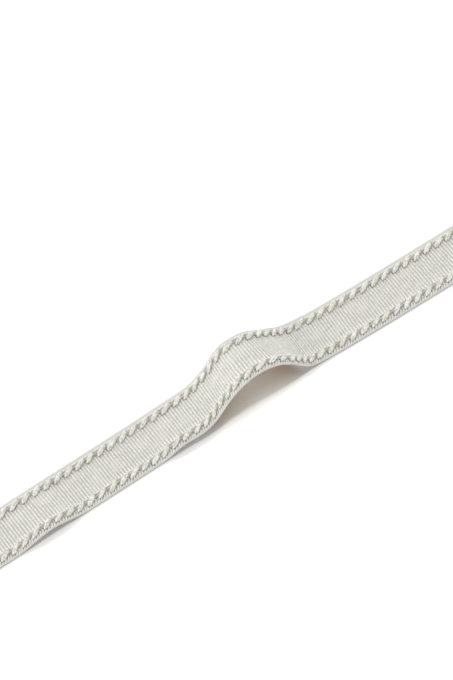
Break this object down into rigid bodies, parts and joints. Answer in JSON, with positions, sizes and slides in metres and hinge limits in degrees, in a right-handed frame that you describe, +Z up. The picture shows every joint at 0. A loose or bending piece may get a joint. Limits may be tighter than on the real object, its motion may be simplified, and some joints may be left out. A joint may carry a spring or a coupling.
{
  "type": "length of ribbed braid trim with corded edges",
  "caption": "Cut length of cross-ribbed braid trim with a twisted cord along each edge, lying flat and raised in one arch.",
  "frame": {"origin": "on the floor under the middle of the trim's outline", "axes": "+X along the trim, from the end nearer the viewer of the picture to the farther one; +Y across it, towards the far edge; +Z up"},
  "size_m": [0.2882, 0.0285, 0.0282],
  "materials": {
    "braid_ground": "matt woven cotton, cross ribbed",
    "braid_cord": "matt twisted cotton yarn"
  },
  "bodies": {
    "root": {"ribbed_tape": "braid_ground", "edge_cord_near": "braid_cord", "edge_cord_far": "braid_cord"}
  },
  "joints": []
}
